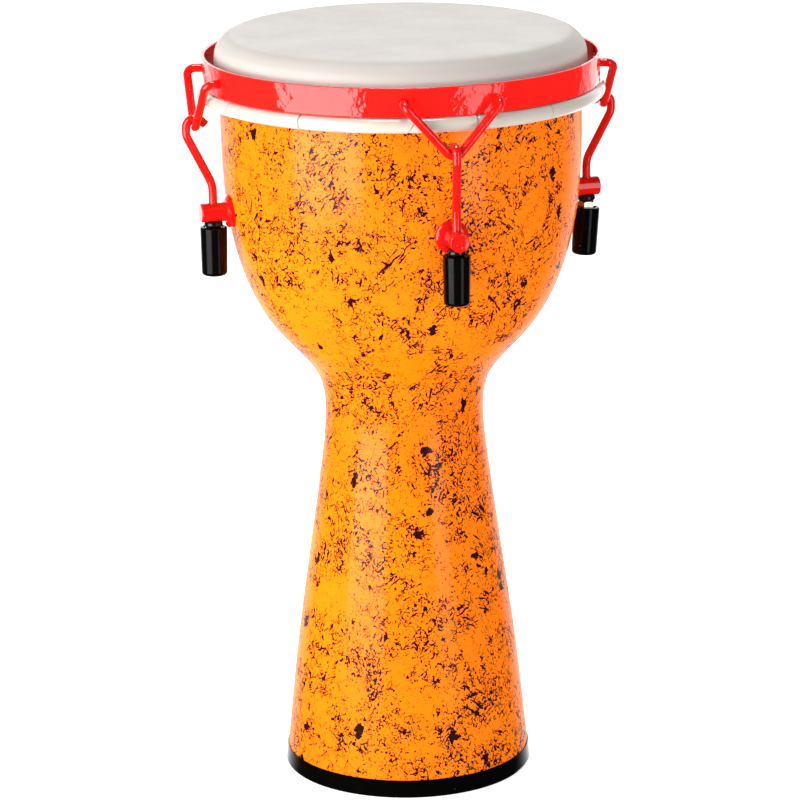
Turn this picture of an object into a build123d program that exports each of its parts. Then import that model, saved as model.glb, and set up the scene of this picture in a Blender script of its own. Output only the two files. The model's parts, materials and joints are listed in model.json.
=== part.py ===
from build123d import *
import math
import os

# A djembe with mechanical tuning: a goblet shell on a rubber foot rim, a pre-tuned synthetic head
# on a wrapped flesh ring, a flat counterhoop and four lugs. At each lug a V-shaped yoke hangs from
# the hoop, and a J-hooked rod, drawn down through a cross-drilled post by a nut, pulls the yoke.
# Millimetres, +Z up. The origin is the centre of the foot's underside, and lug 1 faces -Y.
os.makedirs("parts", exist_ok=True)

# Shell
WALL = 5.0
SHELL_OUTLINE = [  # (radius, height): foot cone, waist, bowl, and the steep wall under the head
    (84.3, 12.6),
    (75.9, 90.0),
    (64.6, 170.0),
    (57.0, 226.0),
    (54.4, 257.0),
    (58.6, 281.0),
    (71.8, 299.0),
    (90.4, 320.0),
    (112.0, 365.0),
    (120.1, 405.0),
    (122.6, 455.0),
    (123.0, 503.5),
]
CONE_DIRECTION = (-0.105, 1.0)
INNER_WALL_POINTS = 24
INNER_WALL_REACH = 0.97
WALL_SPANS = 6

# Head: a flat film over the bearing edge, an elliptical shoulder, then a collar to the flesh ring
FILM = 0.5
HEAD_TOP = 519.6
CREST_R = 110.0
SHOULDER_R = 126.0
SHOULDER_BOTTOM = 503.5
COLLAR_GAP = 0.3
LIP_R = 105.0
LIP_DEPTH = 5.0

# Flesh ring and counterhoop
FLESH_R = 133.2
FLESH_Z = 480.5
FLESH_CORE_R = 4.2
FLESH_WRAP_R = 5.2
HOOP_OUTER_R = 135.0
HOOP_THICKNESS = 2.6
HOOP_BOTTOM = 485.75
HOOP_TOP = 505.2
HOOP_EDGE = 0.7
HOOP_LEAD = -1.6  # degrees that the hoop and its yokes sit turned from the lugs

# Foot rim: a rubber channel pushed over the shell's lower edge
RIM_HEIGHT = 12.6
RIM_FLOOR = 4.0
RIM_BASE_R = 86.3
RIM_TOP_R = 84.9
RIM_LIP = 1.8
RIM_INNER_LIP = 2.0
RIM_INNER_GAP = 0.1
RIM_INNER_HEIGHT = 10.0
RIM_EDGE = 2.0
RIM_SMALL_EDGE = 0.7

# Yokes and rods are bent from one size of wire
WIRE_R = 2.9
RUNNING = 0.05
LUG_COUNT = 4

# Yoke
YOKE_HOLE_ANGLE = 13.2
YOKE_HOLE_Z = 495.4
YOKE_HOLE_R = 3.1
YOKE_LEG_R = 144.6
YOKE_CORNER_R = 142.6
YOKE_CORNER_Z = 457.9
YOKE_LEG_BEND = 5.0
YOKE_VERTEX_BEND = 6.5
YOKE_HEAD_R = 4.3
YOKE_HEAD_FACE = 132.2
YOKE_HEAD_THICKNESS = 2.0

# Rod
ROD_R = 132.0
ROD_END = 366.0
ROD_KNEE_Z = 422.0
ROD_SHOULDER_Z = 455.7
ROD_KNEE_BEND = 22.0
ROD_SHOULDER_BEND = 10.0
HOOK_BEND = 6.0
HOOK_ANGLE = 135.0
HOOK_TIP = 4.0
ROD_CHAMFER = 0.8

# Lug
LUG_Z = 403.0
POST_R = 6.5
POST_INNER = 124.0
POST_OUTER = 140.8
POST_EDGE = 0.9
FLANGE_R = 11.2
FLANGE_BACK = 116.0
FLANGE_RIM = 122.0
FLANGE_CROWN = 0.5
BOLT_R = 3.0
BOLT_CLEARANCE = 0.1
BOLT_TIP = 128.2
BOLT_HEAD_FLATS = 10.0
BOLT_HEAD_HEIGHT = 4.0
BACKING_R = 9.0
BACKING_FACE = 113.2

# Nut, its washer and its sleeve
WASHER_R = 6.3
WASHER_BOTTOM = 393.0
WASHER_TOP = 397.2
WASHER_EDGE = 1.8
NUT_FLATS = 11.0
NUT_CORNER_R = 6.4
NUT_LENGTH = 14.0
NUT_TOP = 392.8
NUT_CHAMFER = 0.7
SLEEVE_TOP = 393.3
SLEEVE_LENGTH = 33.4
SLEEVE_TOP_R = 9.2
SLEEVE_BOTTOM_R = 8.7
SLEEVE_BORE_R = 6.9
SLEEVE_FLOOR = 2.2
SLEEVE_TOP_EDGE = 1.3
SLEEVE_BOTTOM_EDGE = 2.4

# The sleeve of lug 2 has slipped part of the way off its nut, and leans in towards the shell
SLIPPED_LUG = 2
SLIP = 4.7
SLIP_TILT = 3.5
SLIP_PIVOT_Z = 384.0


# Solids that stand on their origin; lug pieces are made on +X, then turned to lug 1 on -Y and on
# round the drum, counter-clockwise from above
BASE = (Align.CENTER, Align.CENTER, Align.MIN)
LUG_TURNS = [Rot(0, 0, 360 / LUG_COUNT * lug - 90) for lug in range(LUG_COUNT)]
BETWEEN_LUGS = Rot(0, 0, 180 / LUG_COUNT)


def spun(profile):
    """The solid that a face drawn as (radius, height) sweeps about Z, its seam between two lugs."""
    return BETWEEN_LUGS * revolve(Plane.XZ * profile, Axis.Z)


def turned(*lines):
    """The same, from the closed lines round the face."""
    return spun(make_face(lines))


def upright(radius, bottom, top, distance=0.0):
    """A round bar along Z, at a distance from the drum's axis along +X."""
    return Pos(distance, 0, bottom) * Cylinder(radius, top - bottom, align=BASE)


def radial(radius, start, end, height=LUG_Z):
    """A round bar along +X, between two distances from the drum's axis."""
    return Location((start, 0, height), (0, 90, 0)) * Cylinder(radius, end - start, align=BASE)


def hexagon(flats, length):
    """A hexagonal bar standing on its end at the origin."""
    return extrude(RegularPolygon(flats / 2, 6, major_radius=False), length)


def bent_wire(path):
    """The hardware's wire, bent along a path."""
    return sweep(Plane(origin=path @ 0, z_dir=path % 0) * Circle(WIRE_R), path=path)


def save(solid, node):
    solid.label = node
    export_step(solid, f"parts/{node}.step")


def outer_wall():
    """The shell's outer line, from the top of the foot rim to the foot of the bearing edge."""
    return Spline(SHELL_OUTLINE, tangents=[CONE_DIRECTION, (0, 1)])


def inner_wall():
    """The line one wall's thickness inside the outer line, as high as the lip."""
    outer = outer_wall()
    points = []
    for step in range(INNER_WALL_POINTS + 1):
        along = INNER_WALL_REACH * step / INNER_WALL_POINTS
        inward = (outer % along).rotate(Axis.Z, 90)
        points.append(outer @ along + inward * WALL)
    return Spline(points)


def spans(line):
    """The same line in short spans, so that no face of the shell is too long to cut well."""
    return [line.trim(span / WALL_SPANS, (span + 1) / WALL_SPANS) for span in range(WALL_SPANS)]


def cone_point(height, depth):
    """A point of the foot cone, carried on down under the rim, at a depth into the wall."""
    foot_r, foot_z = SHELL_OUTLINE[0]
    return (foot_r + CONE_DIRECTION[0] * (height - foot_z) - depth, height)


def inside(line):
    """The solid inside a wall line: it shapes the pieces that sit on the shell or in it."""
    top = line @ 1
    bottom = line @ 0
    return turned(*spans(line), Polyline(top, (0, top.Y), (0, bottom.Y), bottom))


def make_shell():
    """One moulding: an even wall, a thick lip under the head, and a step at the foot for the rim."""
    outer = outer_wall()
    inner = inner_wall()
    crest_z = HEAD_TOP - FILM
    bearing_edge = EllipticalCenterArc(
        (CREST_R, SHOULDER_BOTTOM),
        SHELL_OUTLINE[-1][0] - CREST_R,
        crest_z - SHOULDER_BOTTOM,
        arc_size=90,
    )
    lip = Polyline(
        bearing_edge @ 1,
        (LIP_R, crest_z - LIP_DEPTH),
        (LIP_R, crest_z - 2 * LIP_DEPTH),
        inner @ 1,
    )
    foot = Polyline(
        inner @ 0,
        cone_point(RIM_FLOOR, WALL),
        cone_point(RIM_FLOOR, RIM_LIP),
        cone_point(RIM_HEIGHT, RIM_LIP),
        outer @ 0,
    )
    shell = turned(*spans(outer), bearing_edge, lip, *spans(inner), foot)
    for turn in LUG_TURNS:
        shell -= turn * radial(BOLT_R + BOLT_CLEARANCE, CREST_R, FLANGE_RIM)
    return shell


def make_foot_rim():
    """A channel that grips both sides of the shell's lower edge and stands just proud outside."""
    inner_lip = WALL + RIM_INNER_GAP + RIM_INNER_LIP
    profile = make_face(
        Polyline(
            (RIM_BASE_R, 0),
            (RIM_TOP_R, RIM_HEIGHT),
            cone_point(RIM_HEIGHT, RIM_LIP),
            cone_point(RIM_FLOOR, RIM_LIP),
            cone_point(RIM_FLOOR, WALL + RIM_INNER_GAP),
            cone_point(RIM_INNER_HEIGHT, WALL + RIM_INNER_GAP),
            cone_point(RIM_INNER_HEIGHT, inner_lip),
            cone_point(0, inner_lip),
            close=True,
        )
    )
    corners = profile.vertices().sort_by(Axis.X)
    profile = fillet(corners[-1], RIM_EDGE)
    return spun(profile)


def make_head_film():
    """The playing surface and the shoulder that rolls over the bearing edge."""
    reach = SHOULDER_R - CREST_R
    rise = HEAD_TOP - SHOULDER_BOTTOM
    outside = EllipticalCenterArc((CREST_R, SHOULDER_BOTTOM), reach, rise, arc_size=90)
    inside = EllipticalCenterArc((CREST_R, SHOULDER_BOTTOM), reach - FILM, rise - FILM, arc_size=90)
    middle = Polyline(outside @ 1, (0, HEAD_TOP), (0, HEAD_TOP - FILM), inside @ 1)
    return turned(outside, middle, inside, Line(inside @ 0, outside @ 0))


def make_head_collar():
    """The film's skirt, outside the shell, from the shoulder down to the flesh ring."""
    top = SHOULDER_BOTTOM - COLLAR_GAP
    bottom_r = FLESH_R - FLESH_WRAP_R
    return turned(
        Polyline(
            (SHOULDER_R, top),
            (bottom_r, FLESH_Z),
            (bottom_r - FILM, FLESH_Z),
            (SHOULDER_R - FILM, top),
            close=True,
        )
    )


def make_flesh_core():
    """The steel ring that the head's edge is wound on."""
    return spun(Pos(FLESH_R, FLESH_Z) * Circle(FLESH_CORE_R))


def make_flesh_wrap():
    """The white wrap round the steel ring."""
    wrap = Circle(FLESH_WRAP_R) - Circle(FLESH_CORE_R)
    return spun(Pos(FLESH_R, FLESH_Z) * wrap)


def make_counterhoop():
    """A flat band on edge, with softened edges and a pair of holes at each lug."""
    band = Pos(HOOP_OUTER_R - HOOP_THICKNESS / 2, (HOOP_BOTTOM + HOOP_TOP) / 2) * RectangleRounded(
        HOOP_THICKNESS, HOOP_TOP - HOOP_BOTTOM, HOOP_EDGE
    )
    hoop = spun(band)
    for turn in LUG_TURNS:
        for side in (-1, 1):
            hole = radial(YOKE_HOLE_R, CREST_R, YOKE_LEG_R, YOKE_HOLE_Z)
            hoop -= turn * Rot(0, 0, side * YOKE_HOLE_ANGLE + HOOP_LEAD) * hole
    return hoop


def yoke_vertex():
    """The middle of the wire at the bottom of the yoke's V, where the rod hooks on."""
    corner = Vector(YOKE_CORNER_R, 0, YOKE_CORNER_Z)
    leg = Vector(YOKE_LEG_R, 0, 0).rotate(Axis.Z, YOKE_HOLE_ANGLE) + Vector(0, 0, YOKE_HOLE_Z) - corner
    upward = Vector(leg.X, 0, leg.Z).normalized()
    half_angle = math.radians(leg.get_angle(upward))
    return corner + upward * YOKE_VERTEX_BEND * (1 / math.sin(half_angle) - 1)


def make_yoke():
    """A V of wire: each leg comes out of the hoop, turns down and runs to the vertex."""
    leg = Vector(1, 0, 0).rotate(Axis.Z, YOKE_HOLE_ANGLE)
    mirrored = Vector(leg.X, -leg.Y, 0)
    height = Vector(0, 0, YOKE_HOLE_Z)
    start_r = YOKE_HEAD_FACE - YOKE_HEAD_THICKNESS / 2
    path = FilletPolyline(
        leg * start_r + height,
        leg * YOKE_LEG_R + height,
        (YOKE_CORNER_R, 0, YOKE_CORNER_Z),
        mirrored * YOKE_LEG_R + height,
        mirrored * start_r + height,
        radius=[YOKE_LEG_BEND, YOKE_VERTEX_BEND, YOKE_LEG_BEND],
    )
    yoke = bent_wire(path)
    for side in (-1, 1):
        head = radial(YOKE_HEAD_R, YOKE_HEAD_FACE - YOKE_HEAD_THICKNESS, YOKE_HEAD_FACE, YOKE_HOLE_Z)
        yoke += Rot(0, 0, side * YOKE_HOLE_ANGLE) * head
    return Rot(0, 0, HOOP_LEAD) * yoke


def make_rod():
    """A rod that runs up through the post, leans out to the yoke, and hooks over its vertex."""
    vertex = yoke_vertex()
    hook_r = vertex.X + HOOK_BEND
    shoulder = Vector(hook_r, 0, ROD_SHOULDER_Z).rotate(Axis.Z, HOOP_LEAD)
    top = Vector(hook_r, 0, vertex.Z).rotate(Axis.Z, HOOP_LEAD)
    stem = FilletPolyline(
        (ROD_R, 0, ROD_END),
        (ROD_R, 0, ROD_KNEE_Z),
        shoulder,
        top,
        radius=[ROD_KNEE_BEND, ROD_SHOULDER_BEND],
    )
    bend = CenterArc((vertex.X, vertex.Z), HOOK_BEND, 0, HOOK_ANGLE)
    tip = Line(bend @ 1, bend @ 1 + (bend % 1) * HOOK_TIP)
    hook = Rot(0, 0, HOOP_LEAD) * (Plane.XZ * Wire([bend, tip]))
    rod = bent_wire(Wire([*stem.edges(), *hook.edges()]))
    ends = rod.edges().filter_by(GeomType.CIRCLE).sort_by(Axis.Z)
    return chamfer(ends[0], ROD_CHAMFER)


def make_post():
    """A round post with a cross hole for the rod and a blind threaded hole for the bolt."""
    post = radial(POST_R, POST_INNER, POST_OUTER)
    rim = post.edges().filter_by(GeomType.CIRCLE).sort_by(Axis.X)[-1]
    post = fillet(rim, POST_EDGE)
    post -= upright(WIRE_R + RUNNING, LUG_Z - 2 * POST_R, LUG_Z + 2 * POST_R, ROD_R)
    return post - radial(BOLT_R, POST_INNER, BOLT_TIP)


def make_flange(goblet):
    """A domed rosette, shaped at the back to sit on the shell, under the post."""
    rim_height = FLANGE_RIM - FLANGE_BACK
    dome_height = POST_INNER - FLANGE_BACK
    dome = ThreePointArc(
        (FLANGE_R, rim_height),
        ((FLANGE_R + POST_R) / 2, (rim_height + dome_height) / 2 + FLANGE_CROWN),
        (POST_R, dome_height),
    )
    sides = Polyline(dome @ 1, (0, dome_height), (0, 0), (FLANGE_R, 0), dome @ 0)
    rosette = Location((FLANGE_BACK, 0, LUG_Z), (0, 90, 0)) * turned(dome, sides)
    return rosette - goblet - radial(BOLT_R + BOLT_CLEARANCE, FLANGE_BACK, POST_INNER)


def make_bolt():
    """The bolt that holds a post, with its head inside the shell."""
    head_inner = BACKING_FACE - BOLT_HEAD_HEIGHT
    head = Location((head_inner, 0, LUG_Z), (0, 90, 0)) * hexagon(BOLT_HEAD_FLATS, BOLT_HEAD_HEIGHT)
    return head + radial(BOLT_R, BACKING_FACE, BOLT_TIP)


def make_backing_washer(cavity):
    """A washer under the bolt's head, shaped on one side to the inside of the shell."""
    washer = radial(BACKING_R, BACKING_FACE, FLANGE_RIM) & cavity
    return washer - radial(BOLT_R + BOLT_CLEARANCE, BACKING_FACE, FLANGE_RIM)


def make_nut_washer():
    """A thick round-edged washer, saddled on top to the underside of the post."""
    washer = upright(WASHER_R, WASHER_BOTTOM, WASHER_TOP, ROD_R)
    washer = fillet(washer.edges().filter_by(GeomType.CIRCLE), WASHER_EDGE)
    washer -= radial(POST_R, POST_INNER, POST_OUTER)
    return washer - upright(WIRE_R + RUNNING, WASHER_BOTTOM, WASHER_TOP, ROD_R)


def make_nut():
    """A long hexagonal nut with its corners turned off at both ends."""
    bottom = NUT_TOP - NUT_LENGTH
    hexagonal = Pos(ROD_R, 0, bottom) * hexagon(NUT_FLATS, NUT_LENGTH)
    blank = upright(NUT_CORNER_R, bottom, NUT_TOP, ROD_R)
    blank = chamfer(blank.edges().filter_by(GeomType.CIRCLE), NUT_CHAMFER)
    return (hexagonal & blank) - upright(WIRE_R + RUNNING, bottom, NUT_TOP, ROD_R)


def make_sleeve():
    """A rubber sleeve, closed at the bottom, pushed up over the nut and the rod's end."""
    bottom = SLEEVE_TOP - SLEEVE_LENGTH
    outline = make_face(
        Polyline(
            (0, bottom),
            (SLEEVE_BOTTOM_R, bottom),
            (SLEEVE_TOP_R, SLEEVE_TOP),
            (SLEEVE_BORE_R, SLEEVE_TOP),
            (SLEEVE_BORE_R, bottom + SLEEVE_FLOOR),
            (0, bottom + SLEEVE_FLOOR),
            close=True,
        )
    )
    top_corner = outline.vertices().sort_by_distance((SLEEVE_TOP_R, SLEEVE_TOP))[0]
    outline = fillet(top_corner, SLEEVE_TOP_EDGE)
    bottom_corner = outline.vertices().sort_by_distance((SLEEVE_BOTTOM_R, bottom))[0]
    outline = fillet(bottom_corner, SLEEVE_BOTTOM_EDGE)
    return Pos(ROD_R, 0, 0) * spun(outline)


def slipped(sleeve):
    """The sleeve let down off its nut, and leaning with its foot towards the shell."""
    pivot = Pos(ROD_R, 0, SLIP_PIVOT_Z)
    return pivot * Rot(0, SLIP_TILT, 0) * pivot.inverse() * Pos(0, 0, -SLIP) * sleeve


goblet = inside(outer_wall())
cavity = inside(inner_wall())
sleeve = make_sleeve()

save(make_shell(), "shell")
save(make_foot_rim(), "foot_rim")
save(make_head_film(), "drumhead_film")
save(make_head_collar(), "drumhead_collar")
save(make_flesh_core(), "flesh_ring_core")
save(make_flesh_wrap(), "flesh_ring_wrap")
save(make_counterhoop(), "counterhoop")

lug_pieces = {
    "tension_yoke": make_yoke(),
    "tension_rod": make_rod(),
    "lug_post": make_post(),
    "lug_flange": make_flange(goblet),
    "lug_bolt": make_bolt(),
    "backing_washer": make_backing_washer(cavity),
    "nut_washer": make_nut_washer(),
    "tuning_nut": make_nut(),
}
for number, turn in enumerate(LUG_TURNS, start=1):
    for name, piece in lug_pieces.items():
        save(turn * piece, f"{name}_{number}")
    save(turn * (slipped(sleeve) if number == SLIPPED_LUG else sleeve), f"nut_sleeve_{number}")
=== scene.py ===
import json
import math

import bmesh
import bpy
from mathutils import Matrix, Vector


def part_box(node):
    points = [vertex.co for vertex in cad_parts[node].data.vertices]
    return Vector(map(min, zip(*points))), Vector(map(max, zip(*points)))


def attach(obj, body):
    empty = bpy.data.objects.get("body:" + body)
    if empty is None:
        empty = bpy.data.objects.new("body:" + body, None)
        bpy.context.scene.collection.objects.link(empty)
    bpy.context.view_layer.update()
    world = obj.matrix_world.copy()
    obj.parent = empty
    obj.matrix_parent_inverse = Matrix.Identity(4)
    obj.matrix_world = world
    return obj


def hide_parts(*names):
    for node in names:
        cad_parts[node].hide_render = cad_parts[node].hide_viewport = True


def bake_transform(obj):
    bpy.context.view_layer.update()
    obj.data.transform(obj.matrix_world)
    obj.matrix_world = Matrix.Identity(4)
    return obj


# A djembe with mechanical tuning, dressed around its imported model. Blender works in metres, +Z up.
# The sizes of the mesh pieces are in millimetres, which MM turns to metres.
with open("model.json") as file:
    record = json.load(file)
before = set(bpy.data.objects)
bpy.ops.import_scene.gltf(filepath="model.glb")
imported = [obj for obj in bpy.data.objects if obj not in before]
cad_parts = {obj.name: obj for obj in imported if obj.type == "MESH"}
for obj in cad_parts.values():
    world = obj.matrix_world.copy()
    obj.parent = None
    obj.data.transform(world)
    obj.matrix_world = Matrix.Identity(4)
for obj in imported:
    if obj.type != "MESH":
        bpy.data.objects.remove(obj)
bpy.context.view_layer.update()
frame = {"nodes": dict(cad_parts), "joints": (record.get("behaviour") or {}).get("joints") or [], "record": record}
joints = {joint["name"]: joint for joint in frame["joints"]}

MM = 0.001
LUGS = (1, 2, 3, 4)

# The camera stands in front of the drum, a little above the head, between lugs 4 and 1
CAMERA_AZIMUTH = -15.5
CAMERA_DISTANCE = 2.6
CAMERA_SIDE = 0.002
CAMERA_HEIGHT = 0.976
CAMERA_PITCH = 15.38
CAMERA_YAW = -0.11
CAMERA_ROLL = -0.65
CAMERA_LENS = 175.5
CAMERA_SENSOR = 36.0

# Softboxes: azimuth from the camera in degrees, then distance, width, height and height of the lower
# edge in metres, then radiance. One at no distance hangs over the drum and faces down.
SOFTBOXES = {
    "softbox_left": (-46.0, 1.15, 0.95, 1.25, 0.02, 6.3),
    "softbox_right": (43.0, 1.15, 0.38, 1.25, 0.02, 3.2),
    "softbox_top": (0.0, 0.0, 0.6, 0.6, 2.1, 20.0),
}
# Fills that light the drum but don't show in its gloss
FILLS = {
    "fill_left": (-65.0, 1.0, 0.8, 0.45, 0.02, 4.4),
    "fill_right": (85.0, 1.4, 1.2, 0.5, 0.02, 1.5),
    "fill_head": (80.0, 0.9, 0.8, 0.5, 0.9, 1.6),
}
# The backdrop gives way to the room between two cosines of the angle from the camera's side
BACKDROP_LIGHT = 2.2
BACKDROP_FULL = -0.9
BACKDROP_GONE = -0.5
ROOM_LIGHT = 0.06

# The floor glows less near the drum than far from it
FLOOR_HALF_WIDTH = 12.0
FLOOR_NEAR = 0.2
FLOOR_FAR = 1.5
GLOW_NEAR = 0.8
GLOW_FAR = 1.1


def corners(node):
    """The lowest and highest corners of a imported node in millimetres, rounded to a tenth."""
    return [Vector([round(length / MM, 1) for length in corner]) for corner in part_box(node)]


# The head: flat out to its crest, a shoulder down to the foot of the film, and a skirt to the flesh ring
film_low, film_high = corners("drumhead_film")
skirt_low, skirt_high = corners("drumhead_collar")
HEAD_TOP = film_high.z
CREST_R = 110.0
SHOULDER_R = film_high.x
SHOULDER_FOOT = film_low.z
SKIRT_R = skirt_high.x
SKIRT_FOOT = skirt_low.z
FILM = 0.5
HEAD_SIDES = 192
FLAT_RADII = (0, 30, 60, 90, 105)
SHOULDER_STEPS = 16
SKIRT_SHARES = (0.15, 0.3, 0.45, 0.6, 0.75, 0.9, 1.0)

# The flesh ring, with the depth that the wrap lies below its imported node's surface
wrap_low, wrap_high = corners("flesh_ring_wrap")
WRAP_R = (wrap_high.z - wrap_low.z) / 2
RING_R = wrap_high.x - WRAP_R
RING_Z = (wrap_high.z + wrap_low.z) / 2
WRAP_DEPTH = 0.17
RING_STEP = 2
RING_SIDES = 32
# The wrap's unevenness: waves round the ring, and their height
UNEVEN = ((7, 0.04), (23, 0.03))
# Seams of the wrap: azimuth in degrees from lug 1, and slant
SEAMS = (
    (-72, 0.3), (-44.5, 0.0), (-12.5, 3.0), (5.5, 0.4), (30.5, 0.0), (62, 0.2), (66, -0.3),
    (101, 0.0), (128, 2.5), (165, 0.0), (203, -0.4), (238, 0.0), (263, 2.8),
)
# Across a seam: offset from it and rise of the surface
SEAM_PROFILE = (
    (-4.0, 0.0), (-2.0, 0.05), (-0.9, 0.14), (-0.45, 0.14), (-0.2, -0.1), (0.0, -0.72), (0.35, -0.70),
    (0.6, -0.30), (1.0, -0.16), (4.0, 0.0),
)
# The even stops nearer to a seam than this, in degrees, give way to its profile
SEAM_REACH = 2.4

# The thread on the rods: a ridge on their straight stretches, and relief on the start of the bend
ROD_R = 2.9
THREAD_PITCH = 1.0
THREAD_SIDES = 32
THREAD_ROOT = ROD_R - 0.15
THREAD_CREST = ROD_R + 0.08
THREAD_FADE = 0.11
THREAD_HALF_WIDTH = 0.4
BEND_FOOT = 417.2
BEND_THREAD_TOP = 425.0
# The ridge's two stretches stay clear of the post and the nut at every draw of the hoop: foot, and turns
DRAW = joints["hoop_draw"]["range_m"][1] / MM
CLEARANCE = 0.5
ROD_TIP = 1.3
post_top = corners("lug_post_1")[1].z
rod_end = corners("tension_rod_1")[0].z
THREADS = {"upper": (post_top + DRAW + CLEARANCE, 3.75), "lower": (rod_end + ROD_TIP, 8.5)}


class Paint:
    """A material's node graph, built with short calls. Lengths are in metres on the object."""

    def __init__(self, name, **constants):
        self.material = bpy.data.materials.new(name)
        self.material.use_nodes = True
        self.tree = self.material.node_tree
        self.shader = self.tree.nodes["Principled BSDF"]
        for socket, value in constants.items():
            self.shader.inputs[socket.replace("_", " ")].default_value = value
        self.place = self.add("ShaderNodeTexCoord").outputs["Object"]

    def add(self, kind, inputs=None, **settings):
        node = self.tree.nodes.new(kind)
        for name, value in settings.items():
            setattr(node, name, value)
        for socket, value in (inputs or {}).items():
            self.feed(node.inputs[socket], value)
        return node

    def feed(self, socket, value):
        if isinstance(value, bpy.types.NodeSocket):
            self.tree.links.new(value, socket)
        else:
            socket.default_value = value

    def math(self, operation, *values):
        return self.add("ShaderNodeMath", dict(enumerate(values)), operation=operation).outputs[0]

    def vector(self, operation, *values):
        return self.add("ShaderNodeVectorMath", dict(enumerate(values)), operation=operation).outputs[0]

    def measure(self, operation, *values):
        """A number that is worked out from vectors."""
        node = self.add("ShaderNodeVectorMath", dict(enumerate(values)), operation=operation)
        return node.outputs["Value"]

    def height(self):
        return self.add("ShaderNodeSeparateXYZ", {0: self.place}).outputs["Z"]

    def noise(self, size, place=None, detail=2.0, roughness=0.5, colour=False):
        node = self.add(
            "ShaderNodeTexNoise",
            {"Vector": place or self.place, "Scale": 1 / size, "Detail": detail, "Roughness": roughness},
        )
        return node.outputs["Color" if colour else "Fac"]

    def cells(self, size, place=None, feature="F1", distance="EUCLIDEAN"):
        return self.add(
            "ShaderNodeTexVoronoi",
            {"Vector": place or self.place, "Scale": 1 / size},
            feature=feature,
            distance=distance,
        )

    def ramp(self, value, low, high, bottom=0.0, top=1.0):
        node = self.add(
            "ShaderNodeMapRange",
            {"Value": value, "From Min": low, "From Max": high, "To Min": bottom, "To Max": top},
            interpolation_type="SMOOTHSTEP",
        )
        return node.outputs[0]

    def mix(self, share, first, second):
        """One colour turned to another by a share."""
        node = self.add("ShaderNodeMix", {"Factor": share}, data_type="RGBA")
        # its sockets 6 and 7 are the two colours
        self.feed(node.inputs[6], first)
        self.feed(node.inputs[7], second)
        return node.outputs[2]

    def raised(self, value, share, by):
        """A value plus a share of a number."""
        return self.math("ADD", value, self.math("MULTIPLY", share, by))

    def drawn_out(self, place, elevation, azimuth, stretch):
        """A place squeezed along one direction, so that what it places is drawn out along it."""
        up = math.radians(elevation)
        round_z = math.radians(azimuth)
        flat = math.cos(up)
        way = (flat * math.sin(round_z), -flat * math.cos(round_z), math.sin(up))
        along = self.measure("DOT_PRODUCT", place, way)
        push = self.add("ShaderNodeVectorMath", {0: way}, operation="SCALE")
        self.feed(push.inputs["Scale"], self.math("MULTIPLY", along, 1 / stretch - 1))
        return self.vector("ADD", place, push.outputs[0])

    def warped(self, size, reach, place=None):
        """A place pushed about by noise of a size, by up to half the reach."""
        centred = self.vector("SUBTRACT", self.noise(size, colour=True), (0.5, 0.5, 0.5))
        return self.vector("MULTIPLY_ADD", centred, (reach, reach, reach), place or self.place)

    def colour(self, value):
        self.feed(self.shader.inputs["Base Color"], value)

    def gloss(self, value):
        self.feed(self.shader.inputs["Roughness"], value)

    def relief(self, height, depth, coat=False):
        node = self.add("ShaderNodeBump", {"Height": height, "Distance": depth, "Strength": 1.0})
        self.feed(self.shader.inputs["Normal"], node.outputs[0])
        if coat:
            self.feed(self.shader.inputs["Coat Normal"], node.outputs[0])


# The directions that the shell's strokes run in: elevation and azimuth, in degrees
STROKES = ((62, 0), (46, 65), (50, 185), (38, 300), (22, 25), (16, 118))
# Strokes and grains are noise, raised where the splatter is thick. Between two levels it turns to ink.
STROKE_RAISE = 0.16
FINE_STROKE_LEVELS = (0.764, 0.772)
HEAVY_STROKE_LEVELS = (0.836, 0.846)
GRAIN_RAISE = 0.090
GRAIN_LEVELS = (0.698, 0.706)
# The density noise where the splatter is thinnest and where it is thickest
DENSITY_RANGE = (0.31, 0.56)


def strokes(paint, density):
    """Clusters of ragged strokes, fine and heavy, each direction in patches of its own."""
    bent = paint.warped(0.012, 0.006)
    layers = []
    # each direction takes its noise from a place of its own
    for index, (elevation, azimuth) in enumerate(STROKES):
        patch = paint.noise(0.018, paint.vector("ADD", paint.place, (0.7 * index, 0.3, 0.0)))
        thick = paint.math("MULTIPLY", paint.ramp(patch, 0.44, 0.60), paint.ramp(density, *DENSITY_RANGE))
        moved = paint.vector("ADD", bent, (0.37 * index, 0.11 * index, 0.23 * index))
        drawn = paint.drawn_out(moved, elevation, azimuth, 8.0)
        fine = paint.noise(0.0018, drawn, detail=1.5)
        layers.append(paint.ramp(paint.raised(fine, thick, STROKE_RAISE), *FINE_STROKE_LEVELS))
        drawn = paint.drawn_out(moved, elevation, azimuth, 4.0)
        heavy = paint.noise(0.0055, drawn, detail=3.0, roughness=0.7)
        layers.append(paint.ramp(paint.raised(heavy, thick, STROKE_RAISE), *HEAVY_STROKE_LEVELS))
    return layers


def scribbles(paint, density):
    """Edges of warped cells, cut into short curls."""
    cells = paint.cells(0.0085, paint.warped(0.008, 0.012), feature="DISTANCE_TO_EDGE")
    curls = paint.ramp(paint.noise(0.0075, paint.warped(0.02, 0.01), detail=1.0), 0.48, 0.56)
    cover = paint.math("MULTIPLY", paint.ramp(density, *DENSITY_RANGE), curls)
    width = paint.math("MULTIPLY", cover, 0.040)
    return paint.ramp(paint.math("SUBTRACT", width, cells.outputs["Distance"]), 0.0, 0.010)


def grains(paint, density):
    """Fine specks where the splatter is thick."""
    speck = paint.noise(0.0015, paint.vector("ADD", paint.place, (0.0, 0.0, 3.0)))
    thick = paint.ramp(density, 0.23, 0.55)
    return paint.ramp(paint.raised(speck, thick, GRAIN_RAISE), *GRAIN_LEVELS)


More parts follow.
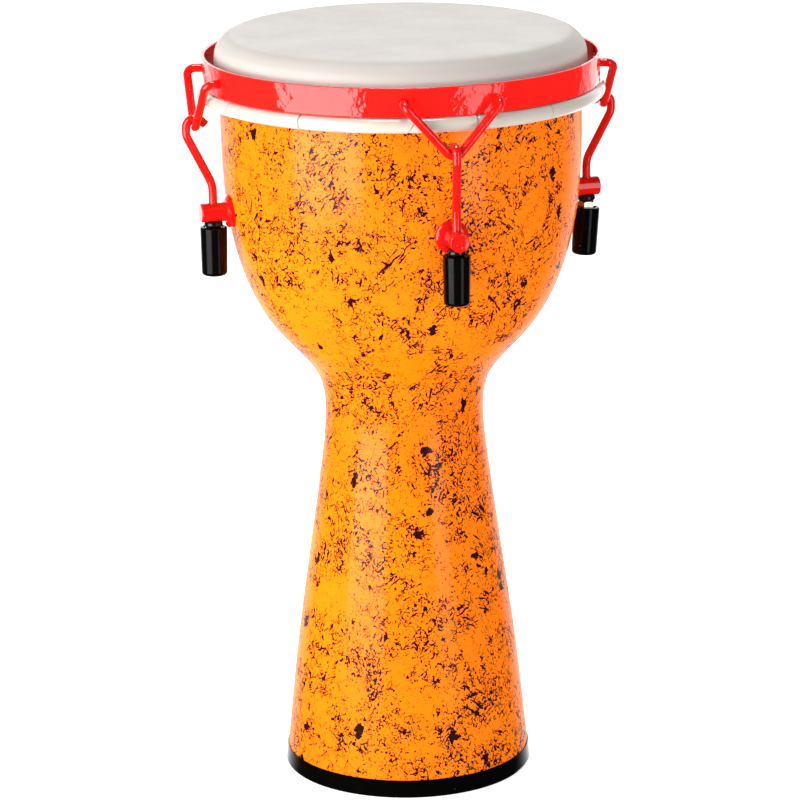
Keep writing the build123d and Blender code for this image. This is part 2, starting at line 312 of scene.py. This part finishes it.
def blots(paint, density):
    """Ragged spots in some of the cells, longer than they are wide."""
    ragged = paint.warped(0.0022, 0.004, paint.warped(0.006, 0.008))
    spot = paint.cells(0.013, paint.drawn_out(ragged, 60, 20, 1.6), distance="MANHATTAN")
    size = paint.ramp(spot.outputs["Color"], 0.50, 0.78, 0.0, 0.42)
    reach = paint.math("MULTIPLY", size, paint.ramp(density, 0.28, 0.52))
    return paint.ramp(paint.math("SUBTRACT", reach, spot.outputs["Distance"]), 0.0, 0.015)


def shell_paint():
    """Orange moulding with dark splatter under a lacquer, and faint rings from turning."""
    paint = Paint("shell_paint", Specular_IOR_Level=0.0, Coat_Weight=0.3, Coat_Roughness=0.12)
    # the orange turns more golden down the foot
    golden = paint.ramp(paint.height(), 0.10, 0.30, 0.10, -0.15)
    hue = paint.math("ADD", paint.noise(0.09, detail=3.0), golden)
    base = paint.mix(hue, (0.90, 0.132, 0.002, 1), (0.88, 0.205, 0.003, 1))

    density = paint.noise(0.03, detail=3.0, roughness=0.6)
    layers = strokes(paint, density)
    layers += [scribbles(paint, density), grains(paint, density), blots(paint, density)]
    inked = layers[0]
    for layer in layers[1:]:
        inked = paint.math("MAXIMUM", inked, layer)
    ink = paint.mix(paint.noise(0.004), (0.005, 0.002, 0.003, 1), (0.030, 0.005, 0.006, 1))
    paint.colour(paint.mix(inked, base, ink))

    paint.gloss(paint.ramp(paint.noise(0.02), 0.3, 0.7, 0.38, 0.5))
    rings = paint.noise(0.0014, paint.vector("MULTIPLY", paint.place, (0.02, 0.02, 1.0)), detail=3.0)
    orange_peel = paint.noise(0.006, detail=1.0)
    paint.relief(paint.raised(rings, orange_peel, 0.15), 0.0002, coat=True)
    return paint.material


def powder_coat(name, shade):
    """A coated material, and the red for it, which is darker at a lower shade."""
    paint = Paint(name, Specular_IOR_Level=0.0, Coat_Weight=1.0, Coat_Roughness=0.04)
    deep = (0.82 * shade, 0.007 * shade, 0.005 * shade, 1)
    light = (0.92 * shade, 0.012 * shade, 0.008 * shade, 1)
    return paint, paint.mix(paint.noise(0.02), deep, light)


def red_enamel(name, shade):
    """Glossy powder coat over an uneven surface."""
    paint, red = powder_coat(name, shade)
    paint.colour(red)
    paint.relief(paint.noise(0.011, detail=3.0), 0.0009, coat=True)
    return paint.material


def red_thread(name, shade):
    """The same powder coat on a rod, over the thread at the start of the bend, with painted shade in the thread's
    grooves.
    """
    paint, red = powder_coat(name, shade)
    height = paint.height()
    turns = paint.math("SINE", paint.math("MULTIPLY", height, 2 * math.pi / (THREAD_PITCH * MM)))
    low_end = paint.ramp(height, (BEND_FOOT - 0.5) * MM, BEND_FOOT * MM)
    high_end = paint.ramp(height, (BEND_THREAD_TOP - 3) * MM, BEND_THREAD_TOP * MM, 1.0, 0.0)
    thread = paint.math("MULTIPLY", turns, paint.math("MULTIPLY", low_end, high_end))
    # the thread's grooves are painted darker: painted shade
    paint.colour(paint.mix(paint.ramp(thread, -0.9, -0.2, 0.5, 0.0), red, (0.25, 0.002, 0.002, 1)))
    paint.relief(paint.raised(thread, paint.noise(0.004), 0.3), 0.00007, coat=True)
    return paint.material


def head_film():
    """Warm white film, faintly mottled, with painted shade on the shoulder and painted light on the skirt below
    it.
    """
    paint = Paint("head_film", Roughness=0.6, Specular_IOR_Level=0.3)
    cloud = paint.noise(0.035, detail=5.0, roughness=0.6)
    fibre = paint.noise(0.004, paint.warped(0.01, 0.01), detail=4.0, roughness=0.7)
    tone = paint.raised(paint.math("MULTIPLY", cloud, 0.7), fibre, 0.3)
    coated = paint.mix(paint.ramp(tone, 0.35, 0.65), (0.42, 0.395, 0.37, 1), (0.47, 0.45, 0.425, 1))
    height = paint.height()
    upper = paint.ramp(height, (HEAD_TOP - 16) * MM, (HEAD_TOP - 6) * MM)
    # painted shade up on the shoulder, and painted light lower down, where the hoop shades the skirt
    skirt = paint.mix(upper, (0.62, 0.58, 0.54, 1), (0.35, 0.325, 0.295, 1))
    # below the crest the film takes mostly that painted shade and light
    painted_share = paint.ramp(height, (HEAD_TOP - 1.8) * MM, (HEAD_TOP - 0.2) * MM, 0.8, 0.0)
    paint.colour(paint.mix(painted_share, coated, skirt))
    paint.relief(paint.noise(0.0009, detail=3.0), 0.00002)
    return paint.material


def ring_wrap():
    """Smooth ivory wrap on the flesh ring."""
    paint = Paint("ring_wrap", Roughness=0.28, Coat_Weight=0.4, Coat_Roughness=0.12)
    cloud = paint.noise(0.02, detail=3.0)
    paint.colour(paint.mix(cloud, (0.42, 0.38, 0.33, 1), (0.46, 0.42, 0.375, 1)))
    paint.relief(paint.noise(0.003), 0.00004)
    return paint.material


def black_rubber(name, shine):
    """Black rubber with a fine moulded grain and a few pale specks of dust."""
    paint = Paint(name, Specular_IOR_Level=shine)
    wear = paint.noise(0.008, detail=4.0, roughness=0.65)
    dust = paint.cells(0.006)
    speck = paint.ramp(dust.outputs["Distance"], 0.03, 0.05, 1.0, 0.0)
    chosen = paint.math("GREATER_THAN", dust.outputs["Color"], 0.72)
    base = paint.mix(wear, (0.0006, 0.0005, 0.0005, 1), (0.0018, 0.0015, 0.0013, 1))
    paint.colour(paint.mix(paint.math("MULTIPLY", speck, chosen), base, (0.35, 0.35, 0.34, 1)))
    paint.gloss(paint.ramp(wear, 0.3, 0.7, 0.08, 0.18))
    paint.relief(paint.noise(0.0006), 0.00002)
    return paint.material


def black_nylon():
    """Polished black washer."""
    paint = Paint("black_nylon", Roughness=0.12, Specular_IOR_Level=0.4)
    paint.colour(paint.mix(paint.noise(0.003), (0.002, 0.002, 0.002, 1), (0.006, 0.006, 0.006, 1)))
    paint.relief(paint.noise(0.0008), 0.00001)
    return paint.material


def plated_steel(name, dark, light, low, high):
    """Plated steel with fine drawn lines, and a roughness between low and high."""
    paint = Paint(name, Metallic=1.0)
    lines = paint.noise(0.0008, paint.vector("MULTIPLY", paint.place, (1.0, 1.0, 0.08)), detail=3.0)
    stain = paint.noise(0.004, detail=4.0)
    paint.colour(paint.mix(stain, dark, light))
    paint.gloss(paint.ramp(stain, 0.3, 0.7, low, high))
    paint.relief(lines, 0.00001)
    return paint.material


# The fittings below the hoop take a darker copy of the hoop's red: painted shade
HOOP_SHADE = 1.0
FITTINGS_PAINTED_SHADE = 0.62
FINISHES = {
    "shell_finish": shell_paint(),
    "red_enamel": red_enamel("red_enamel", HOOP_SHADE),
    "red_fittings_painted_shade": red_enamel("red_fittings_painted_shade", FITTINGS_PAINTED_SHADE),
    "red_thread": red_thread("red_thread", FITTINGS_PAINTED_SHADE),
    "head_film": head_film(),
    "ring_wrap": ring_wrap(),
    "rim_rubber": black_rubber("rim_rubber", 0.05),
    "sleeve_rubber": black_rubber("sleeve_rubber", 0.11),
    "black_nylon": black_nylon(),
    "zinc_steel": plated_steel("zinc_steel", (0.42, 0.42, 0.40, 1), (0.60, 0.60, 0.57, 1), 0.28, 0.42),
    "nut_chrome": plated_steel("nut_chrome", (0.38, 0.38, 0.33, 1), (0.48, 0.48, 0.42, 1), 0.16, 0.30),
}


def dress_frame():
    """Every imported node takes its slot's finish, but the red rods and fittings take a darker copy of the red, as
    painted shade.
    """
    for row in frame["record"]["subparts"]:
        piece = frame["nodes"][row["node"]]
        finish = row["material_slot"]
        if row["node"].startswith("tension_rod"):
            finish = "red_thread"
        elif finish == "red_enamel" and row["node"] != "counterhoop":
            finish = "red_fittings_painted_shade"
        for material_slot in piece.material_slots:
            material_slot.material = FINISHES[finish]


def piece_of(name, points, faces, slot, finish=None):
    """A mesh piece with outward faces, smooth but for its sharp edges, in its slot's finish or its own."""
    mesh = bpy.data.meshes.new(name)
    mesh.from_pydata(points, [], faces)
    solid = bmesh.new()
    solid.from_mesh(mesh)
    bmesh.ops.remove_doubles(solid, verts=solid.verts, dist=1e-7)
    bmesh.ops.recalc_face_normals(solid, faces=solid.faces)
    solid.to_mesh(mesh)
    solid.free()
    mesh.polygons.foreach_set("use_smooth", [True] * len(mesh.polygons))
    mesh.set_sharp_from_angle(angle=math.radians(40))
    piece = bpy.data.objects.new(name, mesh)
    bpy.context.scene.collection.objects.link(piece)
    mesh.materials.append(FINISHES[finish or slot])
    return piece


def between(here, there, count):
    """Faces between two closed rows of so many points, given the index that each row starts at."""
    return [(here + k, there + k, there + (k + 1) % count, here + (k + 1) % count) for k in range(count)]


def swept(rows):
    """Points and faces of a sweep that closes on itself, from its closed rows of points."""
    count = len(rows[0])
    faces = []
    for step in range(len(rows)):
        faces += between(step * count, (step + 1) % len(rows) * count, count)
    return [point for row in rows for point in row], faces


def at(azimuth, radius, height):
    """A point in metres from an azimuth in degrees (0 in front, 90 to the right) and millimetres."""
    turn = math.radians(azimuth)
    return (radius * MM * math.sin(turn), -radius * MM * math.cos(turn), height * MM)


def head_outside():
    """Radii and heights of the head's outer face, from its middle to the foot of the skirt."""
    outside = [(r, HEAD_TOP) for r in FLAT_RADII]
    for step in range(SHOULDER_STEPS + 1):
        turn = math.radians(90 * step / SHOULDER_STEPS)
        r = CREST_R + (SHOULDER_R - CREST_R) * math.sin(turn)
        outside.append((r, HEAD_TOP - (HEAD_TOP - SHOULDER_FOOT) * (1 - math.cos(turn))))
    for share in SKIRT_SHARES:
        r = SHOULDER_R + (SKIRT_R - SHOULDER_R) * share
        outside.append((r, SHOULDER_FOOT - (SHOULDER_FOOT - SKIRT_FOOT) * share))
    return outside


def make_head():
    """The head in one sheet: flat top, shoulder rolled over the bearing edge, and skirt to the ring."""
    outside = head_outside()
    # the inner face is the outer one moved in by the film's thickness
    inside = []
    for k, (r, z) in enumerate(outside):
        ahead = outside[min(k + 1, len(outside) - 1)]
        behind = outside[max(k - 1, 0)]
        run, fall = ahead[0] - behind[0], ahead[1] - behind[1]
        length = math.hypot(run, fall)
        inside.append((max(r + fall / length * FILM, 0.0), z - run / length * FILM))
    section = outside + inside[::-1]
    rows = [[at(360 * step / HEAD_SIDES, r, z) for r, z in section] for step in range(HEAD_SIDES)]
    head = piece_of("head", *swept(rows), "head_film")
    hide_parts("drumhead_film", "drumhead_collar")
    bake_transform(head)


def wrap_stops():
    """Azimuths round the ring with the wrap's rise and slant: even steps, and at each seam its profile."""
    stops = {float(azimuth): (0.0, 0.0) for azimuth in range(0, 360, RING_STEP)}
    for azimuth, slant in SEAMS:
        for gone in [stop for stop in stops if abs((stop - azimuth + 180) % 360 - 180) < SEAM_REACH]:
            del stops[gone]
        for offset, rise in SEAM_PROFILE:
            stops[(azimuth + math.degrees(offset / RING_R)) % 360] = (rise, slant)
    return sorted(stops.items())


def make_ring_wrap():
    """The white wrap on the flesh ring, its ends lapped at the seams."""
    rows = []
    for azimuth, (rise, slant) in wrap_stops():
        uneven = sum(height * math.sin(math.radians(waves * azimuth)) for waves, height in UNEVEN)
        girth = WRAP_R - WRAP_DEPTH + uneven + rise
        row = []
        for step in range(RING_SIDES):
            turn = 2 * math.pi * step / RING_SIDES
            lean = math.degrees(slant * math.sin(turn) / RING_R)
            row.append(at(azimuth + lean, RING_R + girth * math.cos(turn), RING_Z + girth * math.sin(turn)))
        rows.append(row)
    wrap = piece_of("ring_wrap", *swept(rows), "ring_wrap")
    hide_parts("flesh_ring_wrap")
    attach(wrap, "hoop")


def make_thread(name, lug, foot, turns):
    """Turns of painted thread on a rod: a three-cornered ridge, faded in and out at its ends."""
    axis = Vector(joints[f"nut_{lug}_turn"]["pos_m"])
    axis.z = 0
    steps = int(turns * THREAD_SIDES)
    points = []
    for step in range(steps + 1):
        turn = 2 * math.pi * step / THREAD_SIDES
        rise = foot + THREAD_PITCH * step / THREAD_SIDES
        fade = min(1.0, step / THREAD_SIDES, (steps - step) / THREAD_SIDES)
        crest = THREAD_CREST - THREAD_FADE * (1 - fade)
        section = ((THREAD_ROOT, -THREAD_HALF_WIDTH), (crest, 0.0), (THREAD_ROOT, THREAD_HALF_WIDTH))
        for radius, lift in section:
            out = Vector((radius * math.cos(turn), radius * math.sin(turn), rise + lift))
            points.append(axis + out * MM)
    faces = [(0, 1, 2), (3 * steps + 2, 3 * steps + 1, 3 * steps)]
    for step in range(steps):
        faces += between(3 * step, 3 * step + 3, 3)
    ridge = piece_of(name, points, faces, "red_enamel", "red_fittings_painted_shade")
    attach(ridge, "hoop")


def make_camera():
    """The camera, set up in front and then carried round to its azimuth."""
    pitch = math.radians(CAMERA_PITCH)
    yaw = math.radians(CAMERA_YAW)
    roll = math.radians(CAMERA_ROLL)
    ahead = Vector((math.sin(yaw) * math.cos(pitch), math.cos(yaw) * math.cos(pitch), -math.sin(pitch)))
    right = Vector((math.cos(yaw), -math.sin(yaw), 0))
    above = right.cross(ahead)
    side = math.cos(roll) * right + math.sin(roll) * above
    up = -math.sin(roll) * right + math.cos(roll) * above
    axes = Matrix((side, up, -ahead)).transposed().to_4x4()
    stand = Matrix.Translation((CAMERA_SIDE, -CAMERA_DISTANCE, CAMERA_HEIGHT))
    data = bpy.data.cameras.new("camera")
    data.lens = CAMERA_LENS
    data.sensor_width = CAMERA_SENSOR
    data.clip_end = 50.0
    camera = bpy.data.objects.new("camera", data)
    camera.matrix_world = Matrix.Rotation(math.radians(CAMERA_AZIMUTH), 4, "Z") @ stand @ axes
    bpy.context.scene.collection.objects.link(camera)
    bpy.context.scene.camera = camera


def make_softbox(name, azimuth, distance, width, height, bottom, radiance):
    """An area light that faces the drum, or straight down when it stands over it."""
    data = bpy.data.lights.new(name, "AREA")
    data.shape = "RECTANGLE"
    data.size = width
    data.size_y = height
    data.energy = radiance * math.pi * width * height
    light = bpy.data.objects.new(name, data)
    light.visible_camera = False
    if distance:
        turn = Matrix.Rotation(math.radians(CAMERA_AZIMUTH + azimuth), 4, "Z")
        stand = Matrix.Translation((0, -distance, bottom + height / 2))
        light.matrix_world = turn @ stand @ Matrix.Rotation(math.radians(90), 4, "X")
    else:
        light.matrix_world = Matrix.Translation((0, 0, bottom))
    bpy.context.scene.collection.objects.link(light)
    return light


def make_floor():
    """A wide pale floor, which lights the drum from below but doesn't show in its gloss."""
    mesh = bpy.data.meshes.new("floor")
    signs = ((-1, -1), (1, -1), (1, 1), (-1, 1))
    points = [(x * FLOOR_HALF_WIDTH, y * FLOOR_HALF_WIDTH, 0) for x, y in signs]
    mesh.from_pydata(points, [], [(0, 1, 2, 3)])
    floor = bpy.data.objects.new("floor", mesh)
    floor.visible_glossy = False
    bpy.context.scene.collection.objects.link(floor)
    paint = Paint("floor_paper", Roughness=0.9, Specular_IOR_Level=0.1)
    tone = paint.mix(paint.noise(0.5), (0.86, 0.86, 0.86, 1), (0.90, 0.90, 0.90, 1))
    paint.colour(tone)
    paint.feed(paint.shader.inputs["Emission Color"], tone)
    away = paint.measure("LENGTH", paint.place)
    glow = paint.ramp(away, FLOOR_NEAR, FLOOR_FAR, GLOW_NEAR, GLOW_FAR)
    paint.feed(paint.shader.inputs["Emission Strength"], glow)
    mesh.materials.append(paint.material)


def make_world():
    """A bright backdrop behind the drum, as the camera stands, and a dim room in front of it."""
    world = bpy.data.worlds.new("room")
    world.use_nodes = True
    nodes = world.node_tree.nodes
    links = world.node_tree.links
    facing = nodes.new("ShaderNodeVectorMath")
    facing.operation = "DOT_PRODUCT"
    turn = math.radians(CAMERA_AZIMUTH)
    facing.inputs[1].default_value = (math.sin(turn), -math.cos(turn), 0.0)
    links.new(nodes.new("ShaderNodeTexCoord").outputs["Generated"], facing.inputs[0])
    fade = nodes.new("ShaderNodeMapRange")
    fade.interpolation_type = "SMOOTHSTEP"
    fade.inputs["From Min"].default_value = BACKDROP_FULL
    fade.inputs["From Max"].default_value = BACKDROP_GONE
    fade.inputs["To Min"].default_value = BACKDROP_LIGHT
    fade.inputs["To Max"].default_value = ROOM_LIGHT
    links.new(facing.outputs["Value"], fade.inputs["Value"])
    # the camera itself sees plain white
    seen = nodes.new("ShaderNodeMix")
    seen.inputs["B"].default_value = 1.0
    links.new(nodes.new("ShaderNodeLightPath").outputs["Is Camera Ray"], seen.inputs["Factor"])
    links.new(fade.outputs["Result"], seen.inputs["A"])
    links.new(seen.outputs["Result"], nodes["Background"].inputs["Strength"])
    nodes["Background"].inputs["Color"].default_value = (1.0, 1.0, 1.0, 1.0)
    bpy.context.scene.world = world
    bpy.context.scene.view_settings.view_transform = "Standard"


make_camera()
make_floor()
make_world()
for name, settings in SOFTBOXES.items():
    make_softbox(name, *settings)
for name, settings in FILLS.items():
    make_softbox(name, *settings).visible_glossy = False
dress_frame()
make_head()
make_ring_wrap()
for lug in LUGS:
    for stretch, (foot, turns) in THREADS.items():
        make_thread(f"rod_thread_{stretch}_{lug}", lug, foot, turns)
